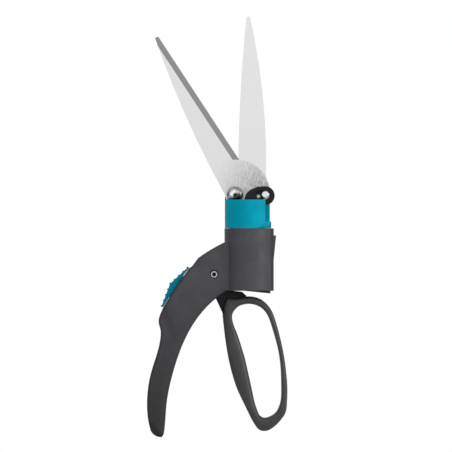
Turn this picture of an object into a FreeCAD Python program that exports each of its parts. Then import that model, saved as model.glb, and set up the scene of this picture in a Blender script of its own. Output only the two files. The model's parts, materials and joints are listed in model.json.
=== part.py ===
"""Swivel grass shears, upright with the blades on top, in millimetres.

X runs across the tool from grip to barrel, Y from front to back and Z up. All the outlines are
given from the foot of the swivel axis, which the placements then put in the part's own frame.
"""
import FreeCAD, Part
import math
import os

import Sketcher

Vector = FreeCAD.Vector
Rotation = FreeCAD.Rotation

SIZES = {
    # place of the swivel axis in the part's frame
    "swivel_x": 25.51,
    "swivel_y": -1.1,
    # handle shells
    "grip_half": 11.2,
    "grip_rounding": 3.0,
    "shell_wall": 2.4,
    "barrel_radius": 19.6,
    "barrel_foot": 121.6,
    "barrel_top": 173.6,
    "bore_radius": 17.05,
    "seam_reach": 21.4,
    "seam_half": 1.6,
    "lever_gap_half": 6.8,
    "shell_boss_radius": 3.6,
    "shell_screw_radius": 1.5,
    "shell_screw_head": 2.7,
    "shell_screw_depth": 2.8,
    "pivot_recess_radius": 3.5,
    "pivot_recess_depth": 1.2,
    # rear cover
    "cover_lean": 5.7,
    "cover_half_width": 21.1,
    "cover_half_height": 24.2,
    "cover_middle": 145.6,
    "cover_front": 6.0,
    "cover_back": 21.8,
    "cover_screw_spacing": 32.0,
    "cover_screw_radius": 1.2,
    "cover_screw_head": 2.6,
    "cover_screw_depth": 1.2,
    # swivel head
    "head_radius": 19.3,
    "head_wall": 2.2,
    "head_top": 200.1,
    "front_top": 197.6,
    "front_cut": 3.0,
    "head_floor": 179.3,
    "plate_front": 2.2,
    "plate_back": 4.9,
    "plate_half": 17.6,
    "shank_radius": 15.4,
    "shank_foot": 148.5,
    "shank_floor": 3.5,
    "chamber_radius": 9.0,
    "groove_low": 152.0,
    "groove_high": 155.0,
    "groove_depth": 1.5,
    "groove_clearance": 0.3,
    "bushing_height": 16.8,
    "bushing_inner": 15.45,
    "click_radius": 2.3,
    "click_height": 164.0,
    "ball_radius": 2.0,
    "ball_reach": 14.1,
    "swoop_height": 5.8,
    "swoop_step": 0.5,
    "swoop_depth": 2.3,
    "head_rounding": 0.5,
    # blades
    "blade_thickness": 1.9,
    "open_angle": 30.7,
    "bolt_x": -10.7,
    "bolt_z": 201.3,
    "bolt_radius": 3.0,
    "bolt_seat": 3.1,
    "washer_radius": 7.2,
    "tang_screw_radius": 1.25,
    "running_gap": 0.05,
    "tang_radius": 29.4,
    "bolt_boss": 8.2,
    "pin_boss": 4.6,
    "pin_reach": 25.0,
    "pin_angle": 0.7,
    "pin_radius": 3.0,
    "bevel_width": 4.6,
    "rear_bevel_width": 2.2,
    "bevel_depth": 1.5,
    # yoke and pull rod
    "yoke_back": 2.5,
    "yoke_thickness": 2.5,
    "rod_radius": 2.5,
    "rod_foot": 134.1,
    "rod_neck": 178.0,
    "rod_head_top": 190.5,
    "rivet_radius": 1.3,
    "collar_radius": 8.0,
    "spring_radius": 6.4,
    "spring_wire": 0.65,
    "spring_foot": 153.2,
    "spring_turns": 5.5,
    "spool_radius": 5.6,
    "spool_neck": 3.4,
    "spool_gap_half": 2.65,
    "spool_flange": 2.0,
    # lever
    "lever_x": -28.2,
    "lever_z": 135.3,
    "lever_range": 25.3,
    "sleeve_radius": 4.0,
    "pivot_screw_radius": 1.5,
    "web_half": 2.9,
    "arm_half": 6.0,
    "loop_half": 6.6,
    "fork_reach": 29.3,
    "fork_radius": 2.4,
    "fork_inner": 3.8,
    "lock_pin_reach": 20.0,
    "lock_pin_radius": 1.5,
    "lock_pin_half": 6.2,
    # lock slider
    "slider_x": -59.65,
    "slider_z": 124.1,
    "slider_slope": 56.0,
    "slider_half": 7.5,
    "slider_neck_half": 5.0,
    "ridge_pitch": 4.8,
    "ridge_half": 0.9,
    "ridge_rise": 0.85,
    "thumb_crest": 6.1,
    "thumb_slope": 0.235,
}

doc = FreeCAD.newDocument("grass_shears")
sheet = doc.addObject("Spreadsheet::Sheet", "sizes")
for row, (alias, amount) in enumerate(SIZES.items(), start=1):
    sheet.set(f"A{row}", alias)
    sheet.set(f"B{row}", str(amount))
    sheet.setAlias(f"B{row}", alias)
doc.recompute()


class Dim:
    """A size that carries its spreadsheet formula along through sums and products."""

    def __init__(self, value, formula):
        self.value = float(value)
        self.formula = formula

    def __float__(self):
        return self.value

    def __neg__(self):
        return Dim(-self.value, f"(-{self.formula})")

    def __add__(self, other):
        return Dim(self.value + float(other), f"({self.formula} + {formula_of(other)})")

    def __radd__(self, other):
        return self + other

    def __sub__(self, other):
        return self + -1 * as_dim(other)

    def __rsub__(self, other):
        return -self + other

    def __mul__(self, other):
        return Dim(self.value * float(other), f"({self.formula} * {formula_of(other)})")

    def __rmul__(self, other):
        return self * other


def formula_of(number):
    """The spreadsheet formula of a Dim, or the number itself as text."""
    return number.formula if isinstance(number, Dim) else repr(float(number))


def as_dim(number):
    """A Dim, whatever comes in."""
    return number if isinstance(number, Dim) else Dim(number, repr(float(number)))


class Sizes:
    """Gives each cell of the sheet as a Dim by its alias."""

    def __getattr__(self, alias):
        return Dim(getattr(sheet, alias), f"sizes.{alias}")


size = Sizes()
TILT_DOWN = Vector(0, -1, 0)


def bind(thing, prop, value):
    """Tie a property of a document object to the sheet."""
    thing.setExpression(prop, formula_of(value))


def new_body(name, across=0.0, deep=0.0, high=0.0, turn=0.0, axis=TILT_DOWN):
    """A body whose own origin stands at these places, measured from the foot of the swivel axis."""
    body = doc.addObject("PartDesign::Body", name)
    body.Label = name
    body.Placement = FreeCAD.Placement(Vector(), Rotation(axis, 1.0))
    bind(body, "Placement.Rotation.Angle", turn)
    bind(body, "Placement.Base.x", size.swivel_x + across)
    bind(body, "Placement.Base.y", size.swivel_y + deep)
    bind(body, "Placement.Base.z", as_dim(high))
    return body


def new_sketch(body, name, plane="XZ_Plane", offset=0.0):
    """A sketch on one of the body's own origin planes, lifted along that plane's normal."""
    sketch = body.newObject("Sketcher::SketchObject", f"{body.Name}_{name}")
    origin_plane = next(item for item in body.Origin.OriginFeatures if item.Role == plane)
    sketch.AttachmentSupport = [(origin_plane, "")]
    sketch.MapMode = "FlatFace"
    bind(sketch, "AttachmentOffset.Base.z", offset)
    return sketch


def pin_point(sketch, edge, end, place):
    """Hold one point of a sketch edge at a place bound to the sheet."""
    for direction, own_axis, value in (("DistanceX", -2, place[0]), ("DistanceY", -1, place[1])):
        if abs(float(value)) < 1e-9:
            sketch.addConstraint(Sketcher.Constraint("PointOnObject", edge, end, own_axis))
            continue
        rule = Sketcher.Constraint(direction, -1, 1, edge, end, float(value))
        bind(sketch, f"Constraints[{sketch.addConstraint(rule)}]", value)


def polygon(sketch, *corners):
    """Closed polygon with every corner bound to the sheet."""
    first = sketch.GeometryCount
    places = [Vector(float(across), float(up), 0) for across, up in corners]
    count = len(corners)
    for index in range(count):
        edge = Part.LineSegment(places[index], places[(index + 1) % count])
        sketch.addGeometry(edge, False)
    for index, corner in enumerate(corners):
        following = first + (index + 1) % count
        sketch.addConstraint(Sketcher.Constraint("Coincident", first + index, 2, following, 1))
        pin_point(sketch, first + index, 1, corner)
    return sketch


def box_outline(sketch, left, low, right, high):
    """Upright rectangle."""
    return polygon(sketch, (left, low), (right, low), (right, high), (left, high))


def circle(sketch, across, up, radius):
    """Circle with its centre and radius bound to the sheet."""
    centre = Vector(float(across), float(up), 0)
    edge = sketch.addGeometry(Part.Circle(centre, Vector(0, 0, 1), float(radius)), False)
    pin_point(sketch, edge, 3, (across, up))
    rule = sketch.addConstraint(Sketcher.Constraint("Radius", edge, float(radius)))
    bind(sketch, f"Constraints[{rule}]", radius)
    return sketch


def curved(sketch, start, *moves):
    """Closed outline of lines (one place), arcs (two places) and smooth curves (more places)."""
    here = Vector(*map(float, start), 0)
    for move in moves:
        stops = [Vector(*map(float, place), 0) for place in move]
        if len(stops) == 1:
            edge = Part.LineSegment(here, stops[0])
        elif len(stops) == 2:
            edge = Part.Arc(here, stops[0], stops[1])
        else:
            edge = Part.BSplineCurve()
            edge.interpolate([here] + stops)
        sketch.addGeometry(edge, False)
        here = stops[-1]
    return sketch


def feature(kind, body, sketch, suffix):
    """A PartDesign feature made from a sketch."""
    made = body.newObject(f"PartDesign::{kind}", f"{sketch.Name}_{suffix}")
    made.Profile = sketch
    sketch.Visibility = False
    return made


def pad(body, sketch, length, back=False, middle=False):
    """Add material; sketches in the XZ plane grow to the front unless back is set."""
    made = feature("Pad", body, sketch, "pad")
    bind(made, "Length", length)
    made.Reversed = back
    made.Midplane = middle
    return made


def pocket(body, sketch, length, back=False, middle=False):
    """Cut material; sketches in the XZ plane cut to the front unless back is set."""
    made = feature("Pocket", body, sketch, "pocket")
    bind(made, "Length", length)
    made.Reversed = not back
    made.Midplane = middle
    return made


def turned(body, sketch, kind="Revolution", angle=360.0, back=True):
    """Turn a profile about the sketch's upright axis."""
    made = feature(kind, body, sketch, kind.lower())
    made.ReferenceAxis = (sketch, ["V_Axis"])
    bind(made, "Angle", angle)
    made.Reversed = not back
    return made


def on_arc(centre, radius, degrees):
    """Point of a circle."""
    angle = math.radians(float(degrees))
    return (float(centre[0]) + float(radius) * math.cos(angle),
            float(centre[1]) + float(radius) * math.sin(angle))


BOLT = (size.bolt_x, size.bolt_z)
LEVER = (size.lever_x, size.lever_z)
FORK_ANGLE = 0.5 * size.lever_range
FORK_TIP = on_arc(LEVER, size.fork_reach, FORK_ANGLE)
DRIVE_PIN = on_arc(BOLT, size.pin_reach, size.pin_angle)
SHELL_SCREWS = ((-36.5, 146.5), (-66.2, 98.0), (-68.8, 62.0), (-76.2, 22.0))
TANG_SCREWS = ((2.5, 195.3), (11.5, 195.3))
YOKE_RIVETS = ((1.2, 181.5), (1.2, 187.0))

GRIP_TOP = (-17.6, 162.9)
GRIP_SHOULDER = (-41.4, 149.0)
SEAT_TOP = (-48.4, 140.7)
SEAT_FOOT = (-70.7, 107.5)
GRIP_MOVES = (
    [GRIP_TOP],
    [(-30.5, 156.2), GRIP_SHOULDER],
    [(-43.7, 145.9), (-45.2, 143.8), SEAT_TOP],
    [(-59.4, 125.5), SEAT_FOOT],
    [(-73.3, 101.5), (-74.4, 96.4), (-74.0, 93.3), (-72.9, 89.6), (-72.7, 84.5), (-74.0, 76.0),
     (-80.9, 52.7), (-84.0, 30.2), (-83.2, 15.0), (-80.9, 5.0)],
    [(-77.6, 1.4), (-71.5, 0.0)],
    [(-70.0, 2.7)],
    [(-69.1, 10.0), (-67.7, 28.0), (-63.2, 50.5), (-55.9, 73.2), (-43.2, 97.4), (-31.9, 110.7),
     (-17.1, 122.0)],
    [(-15.0, 122.0)],
    [(-15.0, 164.0)])


# ---------------------------------------------------------------- handle

def grip_outline(body, name, inset=0.0):
    """Side view of arch and palm grip, from the barrel down and back up, drawn smaller by inset."""
    places = [(-15.0, 164.0)]
    for move in GRIP_MOVES:
        places += move
    count = len(places) - 1
    moved = []
    for index in range(count):
        before = places[(index - 1) % count]
        after = places[(index + 1) % count]
        run = math.dist(before, after)
        moved.append((places[index][0] + inset * (before[1] - after[1]) / run,
                      places[index][1] + inset * (after[0] - before[0]) / run))
    moved.append(moved[0])
    moves = []
    done = 1
    for move in GRIP_MOVES:
        moves.append(moved[done:done + len(move)])
        done += len(move)
    return curved(new_sketch(body, name), moved[0], *moves)


def edges_on_face(shape, level):
    """Names of the grip's edges in the plane at this depth, but for the short one at its foot."""
    return [f"Edge{index}" for index, edge in enumerate(shape.Edges, start=1)
            if abs(edge.BoundBox.YMin - level) < 0.01 and abs(edge.BoundBox.YMax - level) < 0.01
            and edge.BoundBox.XMax < -15.5 and edge.BoundBox.ZMax > 10.0]


def handle_shell(name, back):
    """One half of the handle: a hollow grip and arch, half a barrel and the screw bosses."""
    body = new_body(name)
    side = 1.0 if back else -1.0
    grip = pad(body, grip_outline(body, "grip"), size.grip_half, back=back)
    doc.recompute()

    rounding = body.newObject("PartDesign::Fillet", f"{name}_rounding")
    rounding.Base = (grip, edges_on_face(grip.Shape, side * float(size.grip_half)))
    bind(rounding, "Radius", size.grip_rounding)
    doc.recompute()

    hollow = grip_outline(body, "hollow", inset=float(size.shell_wall))
    pocket(body, hollow, size.grip_half - size.shell_wall, back=back)

    barrel = new_sketch(body, "barrel")
    box_outline(barrel, 0.0, size.barrel_foot, size.barrel_radius, size.barrel_top)
    turned(body, barrel, angle=180.0, back=back)

    seam = new_sketch(body, "seam")
    box_outline(seam, size.bore_radius + 1.0, size.barrel_foot, size.seam_reach, size.barrel_top)
    pad(body, seam, size.seam_half, back=back)

    bore = new_sketch(body, "bore")
    rib_inner = size.shank_radius - size.groove_depth + size.groove_clearance
    rib_low = size.groove_low + size.groove_clearance
    rib_high = size.groove_high - size.groove_clearance
    polygon(bore, (0.0, size.barrel_foot - 1.0), (size.bore_radius, size.barrel_foot - 1.0),
            (size.bore_radius, rib_low), (rib_inner, rib_low), (rib_inner, rib_high),
            (size.bore_radius, rib_high), (size.bore_radius, size.barrel_top + 1.0),
            (0.0, size.barrel_top + 1.0))
    turned(body, bore, kind="Groove")

    boss = new_sketch(body, "bosses")
    for across, up in SHELL_SCREWS:
        circle(boss, across, up, size.shell_boss_radius)
    pad(body, boss, size.grip_half - 1.0, back=back)
    screw_holes = new_sketch(body, "screw_holes")
    for across, up in SHELL_SCREWS:
        circle(screw_holes, across, up, size.shell_screw_radius)
    pocket(body, screw_holes, size.grip_half + 1.0 if back else size.grip_half - 4.0, back=back)
    if back:
        heads = new_sketch(body, "screw_heads", offset=-(size.grip_half - size.shell_screw_depth))
        for across, up in SHELL_SCREWS:
            circle(heads, across, up, size.shell_screw_head + 0.3)
        pocket(body, heads, 5.0, back=True)
        cover_holes = new_sketch(body, "cover_holes", offset=-12.0)
        for place in cover_screw_places():
            circle(cover_holes, *place, size.cover_screw_radius)
        pocket(body, cover_holes, 12.0, back=True)

    fork_window = new_sketch(body, "fork_window")
    box_outline(fork_window, size.lever_x - 2.0, 124.0, -10.0, 147.5)
    pocket(body, fork_window, size.lever_gap_half, back=back)

    lever_gap = new_sketch(body, "lever_gap")
    curved(lever_gap, LEVER, [on_arc(LEVER, 38.0, -116.0)],
           [on_arc(LEVER, 38.0, -60.0), on_arc(LEVER, 38.0, -10.0)], [LEVER])
    pocket(body, lever_gap, size.lever_gap_half, back=back)

    slot = new_sketch(body, "slider_slot")
    slot_corners = ((-18.5, -4.5), (12.5, -4.5), (12.5, 4.0), (-18.5, 4.0))
    curved(slot, slider_place(*slot_corners[0]),
           *[[slider_place(*corner)] for corner in slot_corners[1:] + slot_corners[:1]])
    pocket(body, slot, size.slider_neck_half + 0.4, back=back)

    pivot_hole = new_sketch(body, "pivot_hole")
    circle(pivot_hole, *LEVER, size.pivot_screw_radius + 0.02)
    pocket(body, pivot_hole, size.grip_half + 1.0, back=back)
    recess_face = (-1.0 if back else 1.0) * (size.grip_half - size.pivot_recess_depth)
    recess = new_sketch(body, "pivot_recess", offset=recess_face)
    circle(recess, *LEVER, size.pivot_recess_radius)
    pocket(body, recess, 3.0, back=back)
    return body


def cover_screw_places():
    """Places of the rear cover's two screws, on the cover's leaning middle line."""
    middle = (0.0, size.cover_middle)
    half = 0.5 * float(size.cover_screw_spacing)
    upright = 90.0 - float(size.cover_lean)
    return on_arc(middle, half, upright), on_arc(middle, half, upright + 180.0)


def slider_place(along, out):
    """A point of the lock slider's own frame, along its track and out of the handle."""
    angle = math.radians(float(size.slider_slope))
    return (float(size.slider_x) + along * math.cos(angle) - out * math.sin(angle),
            float(size.slider_z) + along * math.sin(angle) + out * math.cos(angle))


def rear_barrel_cover():
    """Flat-backed cover behind the barrel, leaning a little to the right."""
    body = new_body("rear_barrel_cover", high=size.cover_middle, turn=-1.0 * size.cover_lean)
    outline = new_sketch(body, "outline", offset=-1.0 * size.cover_front)
    wide = size.cover_half_width
    tall = size.cover_half_height
    box_outline(outline, -1.0 * wide, -1.0 * tall, wide, tall)
    pad(body, outline, size.cover_back - size.cover_front, back=True)
    arch_room = new_sketch(body, "arch_room", offset=-1.0 * size.cover_front + 1.0)
    box_outline(arch_room, -30.0, -40.0, -12.0, 40.0)
    pocket(body, arch_room, 1.4 + size.grip_half - size.cover_front, back=True)
    holes = new_sketch(body, "holes")
    half = 0.5 * size.cover_screw_spacing
    circle(holes, 0.0, half, size.cover_screw_radius)
    circle(holes, 0.0, -1.0 * half, size.cover_screw_radius)
    pocket(body, holes, 30.0, back=True)
    heads = new_sketch(body, "heads", offset=-1.0 * size.cover_back + size.cover_screw_depth)
    circle(heads, 0.0, half, size.cover_screw_head)
    circle(heads, 0.0, -1.0 * half, size.cover_screw_head)
    pocket(body, heads, 3.0, back=True)
    doc.recompute()
    barrel = doc.addObject("Part::Cylinder", "cover_bore")
    bind(barrel, "Radius", size.barrel_radius + 0.05)
    barrel.Height = 90.0
    bind(barrel, "Placement.Base.x", size.swivel_x)
    bind(barrel, "Placement.Base.y", size.swivel_y)
    barrel.Placement.Base.z = 100.0
    cut = doc.addObject("Part::Cut", "cover_cut")
    cut.Base = body
    cut.Tool = barrel
    body.Label = "rear_barrel_cover_blank"
    cut.Label = "rear_barrel_cover"
    return cut


def screws(name, places, head_radius, head_depth, shank_radius, face, reach, to_back=True):
    """Identical screws along Y, with their heads against the plane at face."""
    body = new_body(name)
    way = -1.0 if to_back else 1.0
    heads = new_sketch(body, "heads", offset=way * as_dim(face))
    for across, up in places:
        circle(heads, across, up, head_radius)
    pad(body, heads, head_depth, back=to_back)
    shanks = new_sketch(body, "shanks", offset=way * as_dim(face))
    for across, up in places:
        circle(shanks, across, up, shank_radius)
    pad(body, shanks, reach, back=not to_back)
    sockets = new_sketch(body, "sockets", offset=way * (as_dim(face) + head_depth))
    for across, up in places:
        corner = float(head_radius) * 0.45
        star = [on_arc((across, up), corner, 60.0 * step) for step in range(6)]
        curved(sockets, star[0], *[[place] for place in star[1:] + star[:1]])
    pocket(body, sockets, 0.55 * float(head_depth), back=not to_back)
    body.AllowCompound = True
    return body


def tube(name, across, up, outer, inner, front, back):
    """Ring or sleeve along Y between two depths; inner of 0 gives a solid pin."""
    body = new_body(name)
    sketch = new_sketch(body, "ring", offset=-1.0 * as_dim(back))
    circle(sketch, across, up, outer)
    if float(inner) > 0:
        circle(sketch, across, up, inner)
    pad(body, sketch, as_dim(back) - front)
    return body


def hex_nut(name, across, up, flat_radius, bore, front, back):
    """Hexagon nut along Y."""
    body = new_body(name)
    sketch = new_sketch(body, "hexagon", offset=-1.0 * as_dim(back))
    ring = [on_arc((across, up), flat_radius, 60.0 * step) for step in range(6)]
    curved(sketch, ring[0], *[[place] for place in ring[1:] + ring[:1]])
    circle(sketch, across, up, bore)
    pad(body, sketch, as_dim(back) - front)
    return body


def swivel_bushing():
    """Nylon ring with a track for the click ball inside, and eight click grooves across it."""
    foot = size.barrel_top - 0.3 - size.bushing_height
    body = new_body("swivel_bushing", high=foot)
    ring = new_sketch(body, "ring", plane="XY_Plane")
    circle(ring, 0.0, 0.0, size.bore_radius - 0.03)
    circle(ring, 0.0, 0.0, size.bushing_inner)
    pad(body, ring, size.bushing_height)
    track = new_sketch(body, "track")
    circle(track, size.ball_reach, size.click_height - foot, size.ball_radius + 0.1)
    turned(body, track, kind="Groove")
    click = new_sketch(body, "click", plane="XY_Plane")
    circle(click, 0.0, -1.0 * size.ball_reach, size.click_radius)
    first = pocket(body, click, size.bushing_height)
    doc.recompute()
    clicks = body.newObject("PartDesign::PolarPattern", "swivel_bushing_clicks")
    clicks.Originals = [first]
    clicks.Axis = (ring, ["N_Axis"])
    clicks.Angle = 360.0
    clicks.Occurrences = 8
    body.Tip = clicks
    return body


# ---------------------------------------------------------------- lock slider

def lock_slider():
    """Thumb slide: a ribbed pad, its neck and two inner arms that catch the lever's lock pin."""
    body = new_body("lock_slider", across=size.slider_x, high=size.slider_z, turn=size.slider_slope)
    thumb = new_sketch(body, "thumb")
    end_height = size.thumb_crest - 19.0 * size.thumb_slope
    curved(thumb, (19.8, 0.55), [(20.0, end_height)], [(0.6, size.thumb_crest)],
           [(-0.6, size.thumb_crest)], [(-19.6, end_height)], [(-19.4, 0.15)],
           [(0.2, 0.85), (19.8, 0.55)])
    pad(body, thumb, 2.0 * size.slider_half, middle=True)
    ridges = new_sketch(body, "ridges")
    half = float(size.ridge_half)
    for step in range(-4, 5):
        along = step * float(size.ridge_pitch)
        up = float(size.thumb_crest) - abs(along) * float(size.thumb_slope)
        curved(ridges, (along - half, up - 0.8), [(along - half, up)],
               [(along, up + float(size.ridge_rise)), (along + half, up)],
               [(along + half, up - 0.8)], [(along - half, up - 0.8)])
    pad(body, ridges, 2.0 * size.slider_half - 1.2, middle=True)
    neck = new_sketch(body, "neck")
    box_outline(neck, -9.5, -5.3, 11.5, 3.0)
    pad(body, neck, 2.0 * size.slider_neck_half, middle=True)
    inner = new_sketch(body, "inner")
    polygon(inner, (-9.5, -5.3), (-9.5, -3.5), (20.0, -3.5), (20.0, -21.3), (11.4, -21.3),
            (11.4, -18.3), (17.4, -18.3), (17.4, -5.3))
    pad(body, inner, 12.0, middle=True)
    lever_room = new_sketch(body, "lever_room")
    box_outline(lever_room, 10.0, -24.0, 24.0, -5.4)
    pocket(body, lever_room, 2.0 * (size.web_half + 0.5), middle=True)
    return body


def slider_leaf_spring():
    """Thin bowed leaf under the slider's neck."""
    body = new_body("slider_leaf_spring", across=size.slider_x, high=size.slider_z,
                    turn=size.slider_slope)
    leaf = new_sketch(body, "leaf")
    curved(leaf, (-9.0, -5.4), [(0.5, -7.4), (10.0, -5.4)], [(10.0, -5.8)],
           [(0.5, -7.8), (-9.0, -5.8)], [(-9.0, -5.4)])
    pad(body, leaf, 6.0, middle=True)
    return body


# ---------------------------------------------------------------- lever

def lever_core():
    """Black lever: boss, fork toward the rod, heel for the lock pin and arm into the loop."""
    body = new_body("lever_core")
    web = new_sketch(body, "web")
    curved(web, (-33.0, 139.0), [(-24.0, 141.5)], [(-17.0, 141.0)], [(-17.0, 135.0)],
           [(-21.0, 131.5)], [(-16.0, 122.0)], [(-5.0, 120.9)], [(-1.2, 117.4)], [(-9.0, 110.6)],
           [(-13.9, 105.0)], [(-15.2, 98.0)], [(-17.5, 85.5)], [(-19.2, 86.5)], [(-21.2, 103.0)],
           [(-26.6, 114.8)], [(-31.2, 121.5)], [(-33.9, 114.6)], [(-37.6, 113.9)], [(-38.4, 117.6)],
           [(-35.5, 127.0)], [(-36.0, 134.0)], [(-33.0, 139.0)])
    pad(body, web, 2.0 * size.web_half, middle=True)
    arm = new_sketch(body, "arm")
    curved(arm, (-26.4, 121.0), [(-26.6, 114.8)], [(-21.2, 103.0)], [(-21.6, 108.6)],
           [(-18.0, 116.6)], [(-9.8, 115.9)], [(-1.2, 117.4)], [(-5.0, 120.9)], [(-16.0, 121.4)],
           [(-26.4, 121.0)])
    pad(body, arm, 2.0 * size.arm_half, middle=True)
    boss = new_sketch(body, "boss")
    circle(boss, *LEVER, 5.9)
    pad(body, boss, 2.0 * size.lever_gap_half - 0.8, middle=True)
    fork = new_sketch(body, "fork")
    tip = FORK_TIP
    curved(fork, on_arc(tip, size.fork_radius, 90.0),
           [on_arc(tip, size.fork_radius, 0.0), on_arc(tip, size.fork_radius, -90.0)],
           [on_arc(tip, size.fork_radius, -150.0), on_arc(tip, size.fork_radius, -166.0)],
           [(-8.6, 138.1)], [(-12.0, 135.4)], [(-22.0, 133.0)], [(-24.0, 140.0)], [(-12.0, 142.2)],
           [(-8.6, 140.9)], [on_arc(tip, size.fork_radius, 180.0)],
           [on_arc(tip, size.fork_radius, 135.0), on_arc(tip, size.fork_radius, 90.0)])
    pad(body, fork, 2.0 * (size.lever_gap_half - 0.5), middle=True)
    gap = new_sketch(body, "fork_gap")
    box_outline(gap, -11.5, 130.0, 6.0, 150.0)
    pocket(body, gap, 2.0 * size.fork_inner, middle=True)
    bore = new_sketch(body, "bore")
    circle(bore, *LEVER, size.sleeve_radius + size.running_gap)
    circle(bore, *lock_pin_place(), size.lock_pin_radius)
    pocket(body, bore, 20.0, middle=True)
    return body


def lock_pin_place():
    """The lock pin's place with the lever at rest, on the heel below the lever's pivot."""
    toward_track = 180.0 + float(size.slider_slope) + 0.5 * float(size.lever_range)
    return on_arc(LEVER, size.lock_pin_reach, toward_track)


def finger_loop(core):
    """Grey loop for four fingers, moulded on the lever's tail."""
    body = new_body("finger_loop_blank")
    outline = new_sketch(body, "outline")
    curved(outline, (-18.0, 116.2),
           [(-21.2, 103.0), (-18.8, 80.1), (-15.2, 60.2), (-9.3, 40.4), (-1.7, 24.2), (3.7, 13.4),
            (8.2, 6.9), (12.3, 5.0), (17.3, 5.7), (22.7, 9.3), (28.1, 15.1), (31.7, 21.5),
            (32.6, 31.4), (32.8, 44.0), (30.8, 62.1), (26.3, 85.5), (20.0, 104.5), (14.6, 111.7),
            (8.2, 115.7), (0.2, 117.1), (-9.8, 115.5)],
           [(-18.0, 116.2)])
    pad(body, outline, 2.0 * size.loop_half, middle=True)
    opening = new_sketch(body, "opening")
    curved(opening, (-2.6, 65.6),
           [(-5.6, 75.6), (-8.6, 84.9), (-11.7, 92.6), (-13.3, 98.9), (-12.7, 103.0),
            (-10.1, 106.6), (-6.3, 109.4), (0.2, 110.7), (6.5, 109.7),
            (11.9, 106.7), (16.4, 100.8), (20.0, 90.9), (24.5, 74.7), (26.8, 60.2), (27.5, 44.0),
            (27.2, 31.4), (25.0, 24.0), (20.0, 18.3), (13.6, 16.2), (9.2, 18.8), (5.6, 28.7),
            (1.9, 45.8), (-0.3, 55.6), (-2.6, 65.6)])
    pocket(body, opening, 30.0, middle=True)
    doc.recompute()
    cut = doc.addObject("Part::Cut", "finger_loop_cut")
    cut.Base = body
    cut.Tool = core
    cut.Label = "finger_loop"
    return cut


# ---------------------------------------------------------------- swivel head

def swivel_head():
    """Cup-shaped head with a cross plate for the blades, on a hollow shank."""
    body = new_body("swivel_head_blank")
    profile = new_sketch(body, "profile")
    inner = size.head_radius - size.head_wall
    foot = size.shank_foot
    shoulder = size.barrel_top + 0.1
    polygon(profile, (size.rod_radius + 0.1, foot), (size.shank_radius, foot),
            (size.shank_radius, size.groove_low),
            (size.shank_radius - size.groove_depth, size.groove_low),
            (size.shank_radius - size.groove_depth, size.groove_high),
            (size.shank_radius, size.groove_high), (size.shank_radius, shoulder),
            (size.head_radius, shoulder), (size.head_radius, size.head_top),
            (inner, size.head_top), (inner, size.head_floor),
            (size.chamber_radius, size.head_floor),
            (size.chamber_radius, foot + size.shank_floor),
            (size.rod_radius + 0.1, foot + size.shank_floor))
    turned(body, profile)

    plate = new_sketch(body, "plate", offset=-1.0 * size.plate_back)
    box_outline(plate, -1.0 * size.plate_half, size.head_floor - 0.5, size.plate_half,
                size.head_top)
    pad(body, plate, size.plate_back - size.plate_front)

    front = new_sketch(body, "front_edge", plane="XY_Plane", offset=size.front_top)
    box_outline(front, -25.0, -25.0, 25.0, -1.0 * size.front_cut)
    pocket(body, front, 10.0)
    round_front_rim(body)

    slit = new_sketch(body, "yoke_slit", plane="XY_Plane", offset=size.head_floor)
    polygon(slit, (9.0, -12.9), (24.0, -12.9), (24.0, 6.5), (16.0, 6.5), (16.0, 2.15), (9.0, 2.15))
    pocket(body, slit, 40.0)

    relief = new_sketch(body, "tang_relief", offset=-1.0 * size.plate_front)
    circle(relief, *BOLT, size.bolt_boss + 0.9)
    pocket(body, relief, 5.6)

    holes = new_sketch(body, "holes")
    circle(holes, *BOLT, size.bolt_radius)
    for place in TANG_SCREWS:
        circle(holes, *place, size.tang_screw_radius)
    pocket(body, holes, 10.0, back=True)

    click = new_sketch(body, "click_hole", offset=0.0)
    circle(click, 0.0, size.click_height, size.ball_radius + 0.1)
    pocket(body, click, 20.0)
    return swoop_cut(body)


def round_front_rim(body):
    """Take the sharpness off the outer rim of the lowered front."""
    doc.recompute()
    blank = body.Tip
    radius = float(size.head_radius)
    rims = [f"Edge{index}" for index, edge in enumerate(blank.Shape.Edges, start=1)
            if all(abs(point.z - float(size.front_top)) < 0.01
                   and abs(math.hypot(point.x, point.y) - radius) < 0.01
                   for point in edge.discretize(5))]
    rounded = body.newObject("PartDesign::Fillet", "front_rim")
    rounded.Base = (blank, rims)
    bind(rounded, "Radius", size.head_rounding)


def swoop_cut(head):
    """Step low on the front, where the outer sleeve curves up clear of a collar that tapers in."""
    low = size.barrel_top
    high = low + size.swoop_height
    collar = new_body("swoop_collar")
    ring = new_sketch(collar, "ring")
    polygon(ring, (size.head_radius - size.swoop_step, high), (size.head_radius + 2.0, high),
            (size.head_radius + 2.0, low), (size.head_radius - size.swoop_depth, low))
    turned(collar, ring)
    front = new_body("swoop_front")
    outline = new_sketch(front, "outline")
    curved(outline, (3.2, low), [(3.4, 174.0)], [(10.7, 175.8), (14.2, 178.6), (17.0, high)],
           [(25.0, high)], [(25.0, low)], [(3.2, low)])
    pad(front, outline, 30.0)
    doc.recompute()
    step = doc.addObject("Part::Common", "swoop_step")
    step.Base = collar
    step.Tool = front
    cut = doc.addObject("Part::Cut", "swivel_head_cut")
    cut.Base = head
    cut.Tool = step
    cut.Label = "swivel_head"
    return cut


def blade_outline_fixed(sketch):
    """Upright blade with softly bowed edges and a square tang."""
    return curved(
        sketch, (-1.4, 347.9),
        [(-6.0, 289.6), (-8.07, 232.3)],
        [(-8.3, 224.0)], [(-15.5, 208.0)], [(-15.9, 194.5)], [(-13.5, 192.0)],
        [(14.0, 192.0)], [(15.0, 193.0)], [(15.0, 213.2)],
        [(11.65, 289.6), (1.75, 349.1)],
        [(0.3, 350.0), (-1.4, 347.9)])


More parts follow.
